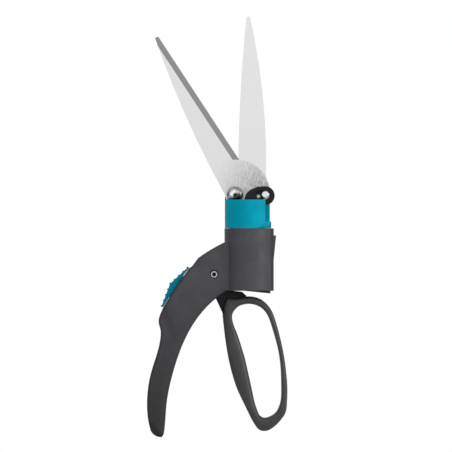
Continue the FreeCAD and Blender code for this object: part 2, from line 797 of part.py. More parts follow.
def fixed_blade():
    """Blade screwed to the head's cross plate, ground on its rear face."""
    body = new_body("fixed_blade", deep=0.1 + size.blade_thickness)
    sketch = blade_outline_fixed(new_sketch(body, "outline"))
    blank = pad(body, sketch, size.blade_thickness)
    doc.recompute()
    bevel(body, blank, -8.07, 232.3, 0.0, size.rear_bevel_width)
    holes = new_sketch(body, "holes")
    circle(holes, *BOLT, size.bolt_radius)
    for place in TANG_SCREWS:
        circle(holes, *place, size.tang_screw_radius)
    pocket(body, holes, 5.0)
    return body


def bevel(body, blank, across, up, deep, width):
    """Grind the cutting edge that ends at this place, wide on the flat face and shallow in depth."""
    end = Vector(across, deep, up)
    named = [(f"Edge{index}", edge) for index, edge in enumerate(blank.Shape.Edges, start=1)]
    edge_name = next(name for name, edge in named if edge.Length > 100.0
                     and min((point.Point - end).Length for point in edge.Vertexes) < 0.2)
    ground = body.newObject("PartDesign::Chamfer", f"{body.Name}_bevel")
    ground.Base = (blank, [edge_name])
    ground.ChamferType = "Two distances"
    bind(ground, "Size", size.bevel_depth)
    bind(ground, "Size2", width)
    doc.recompute()
    if "Invalid" in ground.State or "Error" in ground.State:
        ground.FlipDirection = True
        doc.recompute()
    return ground


def moving_blade():
    """Blade drawn closed, about its bolt, and then swung open by the open angle."""
    body = new_body("moving_blade", across=size.bolt_x, high=size.bolt_z, turn=size.open_angle)
    sketch = new_sketch(body, "outline")
    pin_direction = float(size.pin_angle) - float(size.open_angle)
    pin = on_arc((0.0, 0.0), size.pin_reach, pin_direction)
    narrowing = (float(size.bolt_boss) - float(size.pin_boss)) / float(size.pin_reach)
    under = pin_direction - math.degrees(math.acos(narrowing))
    edge_foot = on_arc((0.0, 0.0), size.tang_radius, 52.5)
    blend = on_arc(pin, size.pin_boss, pin_direction)
    blank = pad(body, curved(
        sketch, (12.3, 146.0),
        [edge_foot],
        [on_arc((0.0, 0.0), size.tang_radius, 10.0), on_arc((0.0, 0.0), size.tang_radius, -20.0)],
        [blend, on_arc(pin, size.pin_boss, under)],
        [on_arc((0.0, 0.0), size.bolt_boss, under)],
        [on_arc((0.0, 0.0), size.bolt_boss, -170.0), on_arc((0.0, 0.0), size.bolt_boss, 152.0)],
        [(-1.6, 78.0), (9.4, 146.5)],
        [(12.3, 146.0)]), size.blade_thickness)
    doc.recompute()
    bevel(body, blank, *edge_foot, -1.0 * float(size.blade_thickness), size.bevel_width)
    holes = new_sketch(body, "holes")
    circle(holes, 0.0, 0.0, size.bolt_radius + size.running_gap)
    circle(holes, *pin, size.pin_radius - 0.6)
    pocket(body, holes, 5.0)
    return body


def pivot_bolt():
    """Domed bolt through both blades and the head plate."""
    body = new_body("pivot_bolt", across=size.bolt_x, high=size.bolt_z)
    profile = new_sketch(body, "profile", plane="XY_Plane")
    shank = float(size.bolt_radius)
    seat = -float(size.bolt_seat)
    curved(profile, (0.0, 9.6), [(shank, 9.6)], [(shank, seat)], [(6.4, seat)], [(6.4, -3.9)],
           [(4.6, -5.9), (2.4, -6.6)], [(2.2, -5.2)], [(0.0, -5.2)], [(0.0, 9.6)])
    turned(body, profile)
    return body


def spring(name, body, radius, wire, height, turns):
    """Coil spring along the body's own Z axis."""
    section = new_sketch(body, "wire")
    circle(section, radius, 0.0, wire)
    coil = feature("AdditiveHelix", body, section, "coil")
    coil.ReferenceAxis = (section, ["V_Axis"])
    coil.Mode = "height-turns-angle"
    bind(coil, "Height", height)
    bind(coil, "Turns", turns)
    return body


def lathe(name, corners, high=0.0):
    """Turned piece on the swivel axis."""
    body = new_body(name, high=high)
    profile = new_sketch(body, "profile")
    polygon(profile, *corners)
    turned(body, profile)
    return body


# ---------------------------------------------------------------- pull rod

def yoke_plate():
    """Black slotted plate: the slot pulls the moving blade's pin down."""
    body = new_body("yoke_plate")
    outline = new_sketch(body, "outline", offset=size.yoke_back)
    eye = (14.4, 200.8)
    curved(outline, (-3.0, 178.0), [(-3.0, 197.8)], [(-0.9, 203.0), (2.6, 206.0)], [(8.0, 208.3)],
           [on_arc(eye, 7.8, 90.0)], [on_arc(eye, 7.8, 10.0), on_arc(eye, 7.8, -80.0)],
           [(8.5, 193.4)], [(5.5, 192.2)], [(5.5, 178.0)], [(-3.0, 178.0)])
    pad(body, outline, size.yoke_thickness)
    slot = new_sketch(body, "slot")
    curved(slot, (9.9, 197.6), [(14.1, 197.6)], [(17.9, 201.35), (14.1, 205.1)], [(9.9, 205.1)],
           [(6.15, 201.35), (9.9, 197.6)])
    pocket(body, slot, 10.0)
    rivet_holes = new_sketch(body, "rivet_holes")
    for place in YOKE_RIVETS:
        circle(rivet_holes, *place, size.rivet_radius)
    pocket(body, rivet_holes, 10.0)
    return body


def pull_rod():
    """Round rod with a flat head for the yoke plate."""
    body = new_body("pull_rod")
    profile = new_sketch(body, "profile")
    box_outline(profile, 0.0, size.rod_foot, size.rod_radius, size.rod_neck + 0.5)
    turned(body, profile)
    head = new_sketch(body, "head", offset=-1.8)
    box_outline(head, -3.0, size.rod_neck, 5.5, size.rod_head_top)
    pad(body, head, size.yoke_back + 1.78)
    holes = new_sketch(body, "holes")
    for place in YOKE_RIVETS:
        circle(holes, *place, size.rivet_radius)
    pocket(body, holes, 10.0, middle=True)
    return body


def build():
    """Make every piece; returns the document objects that are written out."""
    pieces = [handle_shell("handle_front_shell", back=False),
              handle_shell("handle_rear_shell", back=True),
              rear_barrel_cover()]
    pieces.append(screws("cover_screws", cover_screw_places(), size.cover_screw_head - 0.05, 1.1,
                         size.cover_screw_radius, size.cover_back - size.cover_screw_depth, 3.4))
    pieces.append(screws("shell_screws", SHELL_SCREWS, size.shell_screw_head, 1.8,
                         size.shell_screw_radius, size.grip_half - size.shell_screw_depth, 14.0))
    pivot_face = size.grip_half - size.pivot_recess_depth
    pieces.append(screws("pivot_screw", (LEVER,), 2.6, 1.1, size.pivot_screw_radius,
                         pivot_face, 2.0 * size.grip_half - 1.3, to_back=False))
    pieces.append(tube("pivot_sleeve", *LEVER, size.sleeve_radius, size.pivot_screw_radius + 0.02,
                       -1.0 * size.grip_half + size.shell_wall + 0.02,
                       size.grip_half - size.shell_wall - 0.02))
    pieces.append(hex_nut("lever_pivot_nut", *LEVER, 3.2, size.pivot_screw_radius,
                          pivot_face, size.grip_half - 0.1))
    pieces.append(swivel_bushing())
    pieces += [lock_slider(), slider_leaf_spring()]

    core = lever_core()
    pieces += [core, finger_loop(core)]
    pieces.append(tube("lock_pin", *lock_pin_place(), size.lock_pin_radius, 0.0,
                       -1.0 * size.lock_pin_half, size.lock_pin_half))

    pieces += [swivel_head(), fixed_blade(), pivot_bolt()]
    pieces.append(tube("pivot_washer", *BOLT, size.washer_radius, size.bolt_radius + 0.02,
                       -1.0 * size.bolt_seat, -1.0 * size.blade_thickness - 0.1))
    pieces.append(hex_nut("pivot_nut", *BOLT, 5.2, size.bolt_radius, size.plate_back, 8.6))
    pieces.append(screws("tang_screws", TANG_SCREWS, 2.4, 1.6, size.tang_screw_radius,
                         size.plate_back, 4.6))
    ball = doc.addObject("Part::Sphere", "detent_ball")
    ball.Label = "detent_ball"
    bind(ball, "Radius", size.ball_radius)
    bind(ball, "Placement.Base.x", size.swivel_x)
    bind(ball, "Placement.Base.y", size.swivel_y - size.ball_reach)
    bind(ball, "Placement.Base.z", size.click_height)
    pieces.append(ball)
    coil = new_body("detent_spring", deep=-9.4, high=size.click_height, turn=90.0,
                    axis=Vector(1, 0, 0))
    pieces.append(spring("detent_spring", coil, 1.3, 0.22, 2.2, 3.0))
    coil = new_body("return_spring", high=size.spring_foot + size.spring_wire)
    pieces.append(spring("return_spring", coil, size.spring_radius, size.spring_wire,
                         size.rod_neck - 3.0 - size.spring_foot - 2.0 * size.spring_wire,
                         size.spring_turns))
    floor = size.shank_foot + size.shank_floor
    pieces.append(lathe("spring_seat_washer", ((4.2, floor), (8.6, floor), (8.6, floor + 1.0),
                                               (4.2, floor + 1.0))))

    pieces += [pull_rod(), yoke_plate()]
    pieces.append(screws("yoke_rivets", YOKE_RIVETS, 2.2, 0.9, size.rivet_radius,
                         size.yoke_back + size.yoke_thickness, 6.8, to_back=False))
    collar_low = size.rod_neck - 2.5
    pieces.append(lathe("spring_collar", (
        (size.rod_radius, collar_low), (size.collar_radius, collar_low),
        (size.collar_radius, collar_low + 2.0), (size.rod_radius, collar_low + 2.0))))
    middle = FORK_TIP[1]
    gap = size.spool_gap_half
    flange = size.spool_flange
    pieces.append(lathe("rod_spool", (
        (size.rod_radius, -1.0 * gap - flange), (size.spool_radius, -1.0 * gap - flange),
        (size.spool_radius, -1.0 * gap), (size.spool_neck, -1.0 * gap), (size.spool_neck, gap),
        (size.spool_radius, gap), (size.spool_radius, gap + flange),
        (size.rod_radius, gap + flange)), high=middle))
    nut_top = middle - float(gap) - float(flange)
    nut = new_body("spool_nut", high=nut_top - 2.6)
    hexagon = new_sketch(nut, "hexagon", plane="XY_Plane")
    ring = [on_arc((0.0, 0.0), 4.6, 60.0 * step) for step in range(6)]
    curved(hexagon, ring[0], *[[place] for place in ring[1:] + ring[:1]])
    circle(hexagon, 0.0, 0.0, size.rod_radius)
    pad(nut, hexagon, 2.6)
    pieces.append(nut)

    pieces.append(moving_blade())
    pin = new_body("drive_pin", across=DRIVE_PIN[0], high=DRIVE_PIN[1])
    profile = new_sketch(pin, "profile", plane="XY_Plane")
    shank = float(size.pin_radius) - 0.6
    head = float(size.pin_radius)
    curved(profile, (0.0, -0.1), [(shank, -0.1)], [(shank, -2.0)], [(head, -2.0)], [(head, -5.7)],
           [(2.6, -6.1), (2.2, -6.2)], [(0.0, -6.2)], [(0.0, -0.1)])
    pieces.append(turned(pin, profile).getParentGeoFeatureGroup())
    return pieces


def check_and_write(pieces):
    """Stop at any failed object, then write one STEP file per piece."""
    doc.recompute()
    failed = [item.Label for item in doc.Objects
              if "Invalid" in item.State or "Error" in item.State]
    if failed:
        raise RuntimeError(f"failed objects: {failed}")
    os.makedirs("parts", exist_ok=True)
    box = FreeCAD.BoundBox()
    for piece in pieces:
        shape = piece.Shape
        if shape.isNull() or not shape.isValid():
            raise RuntimeError(f"bad shape: {piece.Label}")
        box.add(shape.BoundBox)
        shape.exportStep(os.path.join("parts", f"{piece.Label}.step"))
        print(f"{piece.Label}: {len(shape.Solids)} solid(s), {shape.Volume:.0f} cubic mm")
    print("whole tool:", box)


check_and_write(build())
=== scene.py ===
"""Looks of the swivel grass shears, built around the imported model.

Blender works in metres. Sizes and places here are in millimetres, multiplied by MM for Blender.
"""

import json
import math

import bmesh
import bpy
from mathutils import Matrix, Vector
from mathutils.kdtree import KDTree


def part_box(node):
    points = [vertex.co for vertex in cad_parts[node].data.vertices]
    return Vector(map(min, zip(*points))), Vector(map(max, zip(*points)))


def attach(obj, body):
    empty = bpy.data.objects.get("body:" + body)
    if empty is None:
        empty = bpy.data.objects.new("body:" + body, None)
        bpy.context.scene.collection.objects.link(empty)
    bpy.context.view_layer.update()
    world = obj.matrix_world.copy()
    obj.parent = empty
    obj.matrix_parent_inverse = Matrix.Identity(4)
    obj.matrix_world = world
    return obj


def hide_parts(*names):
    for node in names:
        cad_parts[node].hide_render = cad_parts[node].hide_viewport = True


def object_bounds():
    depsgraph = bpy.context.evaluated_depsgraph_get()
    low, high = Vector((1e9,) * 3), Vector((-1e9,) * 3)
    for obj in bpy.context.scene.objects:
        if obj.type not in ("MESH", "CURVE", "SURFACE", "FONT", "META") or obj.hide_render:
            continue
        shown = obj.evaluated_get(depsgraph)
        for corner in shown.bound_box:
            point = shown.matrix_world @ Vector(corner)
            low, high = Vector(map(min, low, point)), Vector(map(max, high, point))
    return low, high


MM = 0.001
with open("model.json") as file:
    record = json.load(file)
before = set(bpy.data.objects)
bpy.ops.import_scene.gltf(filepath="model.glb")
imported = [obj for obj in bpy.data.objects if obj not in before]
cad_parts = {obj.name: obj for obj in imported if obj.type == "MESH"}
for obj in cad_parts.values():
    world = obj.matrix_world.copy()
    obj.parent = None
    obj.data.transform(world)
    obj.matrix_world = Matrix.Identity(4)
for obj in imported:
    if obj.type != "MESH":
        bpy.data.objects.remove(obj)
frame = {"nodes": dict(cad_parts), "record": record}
cad_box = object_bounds()

# The swivel axis in the frame. Outlines below are measured from its foot.
SWIVEL_X = 25.51
SWIVEL_Y = -1.1


# ---------------------------------------------------------------- material nodes
def wire(tree, value, socket):
    """Links another node's output to the socket, or gives the socket a plain value."""
    if isinstance(value, bpy.types.NodeSocket):
        tree.links.new(value, socket)
    else:
        socket.default_value = value


def add_node(tree, kind, **inputs):
    """Adds a shader node; an input is a value, or an output that is linked to it."""
    node = tree.nodes.new("ShaderNode" + kind)
    for name, value in inputs.items():
        wire(tree, value, node.inputs[name.replace("_", " ")])
    return node


def operated(tree, operation, first, second, kind="Math"):
    """Works on two values or outputs with a Math or VectorMath node."""
    node = add_node(tree, kind)
    node.operation = operation
    wire(tree, first, node.inputs[0])
    wire(tree, second, node.inputs[1])
    return node.outputs["Value"]


def ranged(tree, value, start, end, low, high):
    """Maps start to end onto low to high, and holds the ends."""
    node = add_node(tree, "MapRange", Value=value, From_Min=start, From_Max=end, To_Min=low,
                    To_Max=high)
    return node.outputs["Result"]


def spread(tree, noise, low, high):
    """Maps noise, most of which lies between 0.3 and 0.7, onto low to high."""
    return ranged(tree, noise, 0.3, 0.7, low, high)


def mixed(tree, share, first, second):
    """Mixes two colours; each is three numbers or an output."""
    node = add_node(tree, "Mix")
    node.data_type = "RGBA"
    sockets = {socket.identifier: socket for socket in node.inputs}
    wire(tree, share, sockets["Factor_Float"])
    for name, colour in (("A_Color", first), ("B_Color", second)):
        is_output = isinstance(colour, bpy.types.NodeSocket)
        wire(tree, colour if is_output else (*colour, 1), sockets[name])
    return next(socket for socket in node.outputs if socket.identifier == "Result_Color")


def object_place(tree, stretch):
    """Object coordinates in which 1 is one millimetre, squeezed along each axis by stretch."""
    coordinates = add_node(tree, "TexCoord")
    scale = [amount / MM for amount in stretch]
    mapping = add_node(tree, "Mapping", Vector=coordinates.outputs["Object"], Scale=scale)
    return mapping.outputs["Vector"]


def grain(tree, grain_size, detail=2.0, stretch=(1, 1, 1)):
    """Noise whose lumps are about grain_size millimetres."""
    place = object_place(tree, [amount / grain_size for amount in stretch])
    noise = add_node(tree, "TexNoise", Vector=place, Scale=1.0, Detail=detail)
    return noise.outputs["Fac"]


def cells(tree, cell_size):
    """Rounded pits, each about cell_size millimetres across."""
    place = object_place(tree, [1 / cell_size] * 3)
    voronoi = add_node(tree, "TexVoronoi", Vector=place, Scale=1.0)
    return voronoi.outputs["Distance"]


def edges(tree, width):
    """1 on edges that are rubbed, over about width millimetres, and 0 on flat faces."""
    soft = add_node(tree, "Bevel", Radius=width * MM)
    soft.samples = 4
    sharp = add_node(tree, "NewGeometry")
    agreement = operated(tree, "DOT_PRODUCT", soft.outputs["Normal"], sharp.outputs["Normal"],
                         "VectorMath")
    return ranged(tree, agreement, 0.99, 0.8, 0.0, 1.0)


def nearness(tree, place, inner, outer):
    """1 within inner millimetres of a place in the rest frame, fading to 0 at outer."""
    coordinates = add_node(tree, "TexCoord")
    distance = operated(tree, "DISTANCE", coordinates.outputs["Object"], place, "VectorMath")
    return ranged(tree, distance, outer * MM, inner * MM, 0.0, 1.0)


def facing(tree, axis, start, end):
    """0 to 1 as the surface's own normal (in the piece's rest frame) turns along an axis."""
    coordinates = add_node(tree, "TexCoord")
    split = add_node(tree, "SeparateXYZ", Vector=coordinates.outputs["Normal"])
    return ranged(tree, split.outputs[axis], start, end, 0.0, 1.0)


def bumped(tree, shader, *layers):
    """Stacks bump layers, each (height socket, depth in millimetres), on the shader."""
    normal = None
    for height, depth in layers:
        bump = add_node(tree, "Bump", Height=height, Distance=depth * MM, Strength=1.0)
        if normal is not None:
            tree.links.new(normal, bump.inputs["Normal"])
        normal = bump.outputs["Normal"]
    tree.links.new(normal, shader.inputs["Normal"])


def new_material(name, metallic=0.0, specular=0.5):
    """A material with its node tree and its shader."""
    material = bpy.data.materials.new(name)
    material.use_nodes = True
    tree = material.node_tree
    shader = tree.nodes["Principled BSDF"]
    shader.inputs["Metallic"].default_value = metallic
    shader.inputs["Specular IOR Level"].default_value = specular
    return material, tree, shader


def shaded(colour, factor, lift=0.0):
    """The colour times a factor, with a little white added."""
    return [min(1.0, channel * factor + lift) for channel in colour]


# ---------------------------------------------------------------- kinds of finish
def plastic(name, colour, roughness, pit_size, pit_depth, rub=0.35, specular=0.5, shade_falloff=None):
    """Moulded plastic: fine spark-eroded grain, cloudy colour, and edges rubbed paler.

    The last argument is (mask function, factor) for painted shade: where the mask is 1 the colour
    is times the factor."""
    material, tree, shader = new_material(name, specular=specular)
    cloud = grain(tree, 14.0, detail=4.0)
    speck = grain(tree, 0.5, detail=1.0)
    light = shaded(colour, 1.14, 0.002)
    body = mixed(tree, spread(tree, cloud, 0.0, 1.0), shaded(colour, 0.86), light)
    specks = mixed(tree, ranged(tree, speck, 0.4, 0.75, 0.0, 0.35), body, light)
    rubbed_share = operated(tree, "MULTIPLY", edges(tree, 0.7), rub)
    surface = mixed(tree, rubbed_share, specks, shaded(colour, 1.5, 0.02))
    # Painted shade: under the mask the colour is darkened by the factor.
    if shade_falloff:
        mask, factor = shade_falloff
        surface = mixed(tree, mask(tree), surface, shaded(colour, factor))
    tree.links.new(surface, shader.inputs["Base Color"])
    smear = grain(tree, 5.0, detail=5.0)
    tree.links.new(spread(tree, smear, roughness - 0.07, roughness + 0.07),
                   shader.inputs["Roughness"])
    bumped(tree, shader, (cells(tree, pit_size), pit_depth), (cloud, 0.05))
    return material


def brushed_steel(name, bright, dark, roughness, stretch=(1, 1, 1), lines=0.003, extras=()):
    """Ground steel: fine lines along the long side of stretch, with cloudy polish.

    Each extra is (mask function, grey): where the mask is 1 the steel has that grey."""
    material, tree, shader = new_material(name, metallic=1.0)
    strokes = grain(tree, 0.5, detail=3.0, stretch=stretch)
    cloud = grain(tree, 12.0, detail=2.0)
    tone = operated(tree, "ADD", operated(tree, "MULTIPLY", strokes, 0.75),
                    operated(tree, "MULTIPLY", cloud, 0.25))
    colour = mixed(tree, ranged(tree, tone, 0.35, 0.65, 0.0, 1.0), [dark] * 3, [bright] * 3)
    for mask, grey in extras:
        colour = mixed(tree, mask(tree), colour, [grey] * 3)
    tree.links.new(colour, shader.inputs["Base Color"])
    tree.links.new(spread(tree, tone, roughness - 0.06, roughness + 0.06),
                   shader.inputs["Roughness"])
    bumped(tree, shader, (strokes, lines))
    return material


def coated_steel(name, colour, roughness, wear):
    """Black coated steel with a slight orange peel and bright metal on the rubbed edges."""
    material, tree, shader = new_material(name, metallic=0.6)
    peel = grain(tree, 0.8, detail=3.0)
    scuff = grain(tree, 2.5, detail=6.0)
    coat = mixed(tree, ranged(tree, scuff, 0.35, 0.7, 0.0, 1.0), shaded(colour, 0.8), colour)
    worn_share = operated(tree, "MULTIPLY", edges(tree, 0.25),
                          ranged(tree, scuff, 0.4, 0.6, 0.0, wear))
    bare_metal = (0.4, 0.4, 0.4)
    tree.links.new(mixed(tree, worn_share, coat, bare_metal), shader.inputs["Base Color"])
    tree.links.new(spread(tree, peel, roughness - 0.08, roughness + 0.1),
                   shader.inputs["Roughness"])
    bumped(tree, shader, (peel, 0.012))
    return material


# ---------------------------------------------------------------- finishes of single pieces
BLADE_GRIND = (3, 1, 0.2)


def spot(place, inner, outer):
    """Mask function: 1 within inner millimetres of a place, fading to 0 at outer."""
    return lambda tree: nearness(tree, place, inner, outer)


def front_middle(node):
    """The middle of the front side of a CAD node's box."""
    low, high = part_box(node)
    return Vector(((low.x + high.x) / 2, low.y, (low.z + high.z) / 2))


def moving_blade_steel():
    """Ground blade: brushed tang, a darker bevel that is a painted dark reflection, and painted
    shade with a small painted lit patch at the drive pin.
    """
    low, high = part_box("drive_pin")
    pin = (low + high) / 2
    # Painted shade where the yoke's slot shades the tang beside the drive pin, and inside it a
    # small painted lit patch of tang.
    recess_shade = spot(pin + Vector((-4.2, 0.0, 0.6)) * MM, 5.1, 5.6)
    lit_patch = spot(pin + Vector((-5.6, 0.0, -1.4)) * MM, 1.2, 2.2)

    # Painted dark reflection: faces tilted toward +X, the cutting bevel, get a darker grey; it
    # stands for a coarser grind as well.
    def bevel(tree):
        return facing(tree, "X", 0.08, 0.2)

    def tang(tree):
        scratches = grain(tree, 0.9, detail=4.0, stretch=(1, 1, 0.3))
        return operated(tree, "MULTIPLY", nearness(tree, pin, 10.0, 45.0),
                        ranged(tree, scratches, 0.38, 0.62, 0.95, 0.35))

    return brushed_steel("moving_blade_steel", 0.90, 0.84, 0.33, BLADE_GRIND, lines=0.0015,
                         extras=((tang, 0.36), (bevel, 0.30), (recess_shade, 0.02), (lit_patch, 0.7)))


def pivot_screw_steel():
    """Bright screw with painted shade in the socket of its front face."""
    socket_radius = 1.9
    # Painted shade: near-black grey over the socket, where the recess is shaded.
    recess_shade = spot(front_middle("pivot_screw"), socket_radius * 0.85, socket_radius)
    return brushed_steel("pivot_screw_steel", 0.60, 0.45, 0.2, lines=0.001,
                         extras=((recess_shade, 0.015),))


def bolt_steel():
    """Dome with a painted highlight on its upper left, painted shade in its socket, and a painted
    dark reflection on its lower right half.
    """
    middle = front_middle("pivot_bolt")
    # Painted highlight on the upper left, painted dark reflection over the lower right, and
    # painted shade in the socket.
    dome_highlight = spot(middle + Vector((-2.8, 1.0, 2.6)) * MM, 2.6, 4.0)
    dome_dark_reflection = spot(middle + Vector((4.5, 2.0, -5.5)) * MM, 6.6, 8.4)
    socket = spot(middle, 2.0, 2.5)
    return brushed_steel("bolt_steel", 0.62, 0.50, 0.16, lines=0.001,
                         extras=((dome_highlight, 0.98), (dome_dark_reflection, 0.07), (socket, 0.03)))


def shell_plastic():
    """Grey shell plastic with painted shade, darker toward the end of the grip."""
    grip_end = Vector((-52.0, -12.0, 5.0)) * MM
    return plastic("grey_shell", (0.068, 0.064, 0.073), 0.55, 0.35, 0.02,
                   shade_falloff=(spot(grip_end, 15.0, 130.0), 0.34))


SLOT_FINISH = {
    "grey_shell": shell_plastic(),
    "grey_loop": plastic("grey_loop", (0.060, 0.058, 0.062), 0.45, 0.3, 0.006),
    "teal_plastic": plastic("teal_head", (0.0, 0.395, 0.55), 0.45, 0.3, 0.008, specular=0.05),
    "black_plastic": plastic("black_plastic", (0.008, 0.008, 0.010), 0.55, 0.3, 0.01, rub=0.15,
                             specular=0.2),
    "nylon": plastic("nylon", (0.60, 0.58, 0.52), 0.45, 0.4, 0.01, rub=0.1),
    "blade_steel": brushed_steel("blade_steel", 0.92, 0.86, 0.33, BLADE_GRIND, lines=0.002),
    "bright_steel": brushed_steel("bright_steel", 0.88, 0.72, 0.2, lines=0.001),
    "spring_steel": brushed_steel("spring_steel", 0.55, 0.35, 0.3),
    "dark_screw": coated_steel("dark_screw", (0.05, 0.05, 0.052), 0.4, 0.6),
    "black_steel": coated_steel("black_steel", (0.016, 0.016, 0.017), 0.42, 0.4),
}
NODE_FINISH = {
    "moving_blade": moving_blade_steel(),
    "pivot_bolt": bolt_steel(),
    "pivot_washer": brushed_steel("washer_steel", 0.30, 0.20, 0.25, lines=0.001),
    "pivot_screw": pivot_screw_steel(),
    "lock_slider": plastic("teal_slider", (0.0, 0.25, 0.335), 0.45, 0.3, 0.015, specular=0.05),
}


def finish_of(node, slot):
    """The finish of a single piece, or else of its slot."""
    return NODE_FINISH.get(node, SLOT_FINISH[slot])


def paint_frame():
    """Gives every carried-over CAD node its finish."""
    for part in frame["record"]["subparts"]:
        materials = frame["nodes"][part["node"]].data.materials
        materials.clear()
        materials.append(finish_of(part["node"], part["material_slot"]))


# ---------------------------------------------------------------- meshes and pieces
CRISP_ANGLE = 32.0
NEVER_CRISP = 180.0
CORNER_ANGLE = 28.0
FLAT_ANGLE = 0.5
WELD = 0.001
SLIVER = 0.002


def clamped(value):
    return max(0.0, min(1.0, value))


def eased(share):
    """0 to 1 with a soft start and end."""
    return share * share * (3 - 2 * share)


def add_object(name, data):
    """Puts an object that holds the data into the scene."""
    holder = bpy.data.objects.new(name, data)
    bpy.context.scene.collection.objects.link(holder)
    return holder


def stand_in(name, mesh, crisp_angle, node, body, slot):
    """Makes the mesh a piece of the body, in place of a CAD node."""
    mesh.shade_smooth()
    mesh.set_sharp_from_angle(angle=math.radians(crisp_angle))
    mesh.materials.append(finish_of(node, slot))
    piece = add_object(name, mesh)
    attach(piece, body)
    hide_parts(node)


def welded(node):
    """The CAD node's mesh with its doubled corner points joined, in a bmesh."""
    work = bmesh.new()
    work.from_mesh(frame["nodes"][node].data)
    bmesh.ops.remove_doubles(work, verts=work.verts, dist=WELD * MM)
    return work


def finished(name, work):
    """Turns a bmesh into mesh data of triangles and quads."""
    bmesh.ops.triangulate(work, faces=[face for face in work.faces if len(face.verts) > 4])
    mesh = bpy.data.meshes.new(name)
    work.to_mesh(mesh)
    work.free()
    return mesh


def softened(name, node, body, slot, width):
    """Copy of a CAD node whose corners are moulded or broken, width millimetres wide."""
    work = welded(node)
    bmesh.ops.dissolve_limit(work, angle_limit=math.radians(FLAT_ANGLE), verts=work.verts,
                             edges=work.edges)
    corners = [edge for edge in work.edges if len(edge.link_faces) == 2
               and edge.calc_face_angle() > math.radians(CORNER_ANGLE)]
    bmesh.ops.bevel(work, geom=corners, offset=width * MM, offset_type="OFFSET", segments=2,
                    profile=0.5, affect="EDGES", clamp_overlap=True)
    stand_in(name, finished(name, work), CRISP_ANGLE, node, body, slot)


# ---------------------------------------------------------------- handle shells
BARREL_REACH = 21.6

# Roundings of the grip's edge: as in the CAD down to ROUND_FROM, full from ROUND_SPAN lower.
GRIP_HALF = 11.2
CAD_ROUNDING = 3.0
LOWER_ROUNDING = 7.0
ROUND_FROM = 118.0
ROUND_SPAN = 35.0

# Finding the grip's outline: rims this deep, this long, beside faces this flat.
RIM_DEPTH = 8.0
HOLE_RIM = 24.0
LEVEL = 0.02
OUTLINE_STEP = 0.1

# Bending the shell: patch size, what counts as outline or face, and the least wall.
PATCH = 1.6
MOST_SPLITS = 9
AT_OUTLINE = 0.15
AT_FACE = 0.5
SKIN = 0.9

# The thumb's hollow, left of a crease from the horn down: deep at once, and shallow past its end.
CREASE = ((-70.5, 107.0), (-58.0, 77.0))
CREASE_WIDTH = 8.0
SCOOP_DEPTH = 3.4
SCOOP_START = 4.0
SCOOP_END = 1.1

# The thumb slide's track, and the seat for it on the grip's back.
TRACK_PLACE = (-59.65, 124.1)
TRACK_ANGLE = math.radians(56.0)
TRACK_ALONG = (math.cos(TRACK_ANGLE), math.sin(TRACK_ANGLE))
SLIDE_TRAVEL = 8.0
SLIDE_HEIGHT = 0.87
SLIDE_MIDDLE = 4.5
SLIDE_CURVE = 0.00127
SEAT_HALF = 19.6
SEAT_FADE = 1.0
SEAT_MARGIN = 3.0
SEAT_DEPTH = 5.0
SEAT_CLEARANCE = 0.12


def chains(edges_of_rim):
    """Groups edges that hang together."""
    left = set(edges_of_rim)
    while left:
        group = [left.pop()]
        for edge in group:
            for corner in edge.verts:
                for other in corner.link_edges:
                    if other in left:
                        left.remove(other)
                        group.append(other)
        yield group


def is_rim(edge):
    """Whether an edge of the shell lies where a side wall meets the rounding or the flat."""
    middle = (edge.verts[0].co + edge.verts[1].co) / 2
    deep = abs(middle.y / MM - SWIVEL_Y)
    beside = math.hypot(middle.x / MM - SWIVEL_X, middle.y / MM - SWIVEL_Y)
    if deep < RIM_DEPTH or beside < BARREL_REACH or not edge.is_convex:
        return False
    tilts = sorted(abs(face.normal.y) for face in edge.link_faces)
    return tilts[0] < LEVEL < tilts[1]


def grip_outline(work):
    """Close points along the grip's outline, without the rims of its holes."""
    points = []
    for group in chains([edge for edge in work.edges if is_rim(edge)]):
        if sum(edge.calc_length() for edge in group) < HOLE_RIM * MM:
            continue
        for edge in group:
            steps = max(1, round(edge.calc_length() / (OUTLINE_STEP * MM)))
            points += [edge.verts[0].co.lerp(edge.verts[1].co, step / steps)
                       for step in range(steps)]
    return points


def refined(work):
    """Splits long edges until every patch is small enough to bend smoothly."""
    for _ in range(MOST_SPLITS):
        long_edges = [edge for edge in work.edges if edge.calc_length() > PATCH * MM]
        if not long_edges:
            return
        bmesh.ops.subdivide_edges(work, edges=long_edges, cuts=1)
        bmesh.ops.triangulate(work, faces=[face for face in work.faces if len(face.verts) > 3])


def rounding(height):
    """Radius of the grip's edge at a height: tight on the arch, full on the lower grip."""
    share = clamped((ROUND_FROM - height) / ROUND_SPAN)
    return CAD_ROUNDING + (LOWER_ROUNDING - CAD_ROUNDING) * eased(share)


def crown(distance, radius):
    """How far out the face stands at a distance from the outline, for a rounding radius."""
    inward = max(0.0, radius - distance)
    return GRIP_HALF - radius + math.sqrt(max(0.0, radius * radius - inward * inward))


def scoop(across, up):
    """How far the thumb's hollow is let in at a place."""
    (x0, z0), (x1, z1) = CREASE
    length = math.hypot(x1 - x0, z1 - z0)
    down = ((across - x0) * (x1 - x0) + (up - z0) * (z1 - z0)) / length ** 2
    left = ((across - x0) * (z1 - z0) - (up - z0) * (x1 - x0)) / length
    fade = clamped(SCOOP_END - down) * clamped(SCOOP_START * down)
    return SCOOP_DEPTH * fade * eased(clamped(0.5 + left / CREASE_WIDTH))


def bent_depth(deep, distance, radius, face):
    """New distance from the middle plane of a point of the shell that was deep before."""
    if distance < AT_OUTLINE:
        return min(deep * (GRIP_HALF - radius) / (GRIP_HALF - CAD_ROUNDING), face)
    if deep > crown(distance, CAD_ROUNDING) - AT_FACE:
        return face
    return min(deep, face - SKIN)


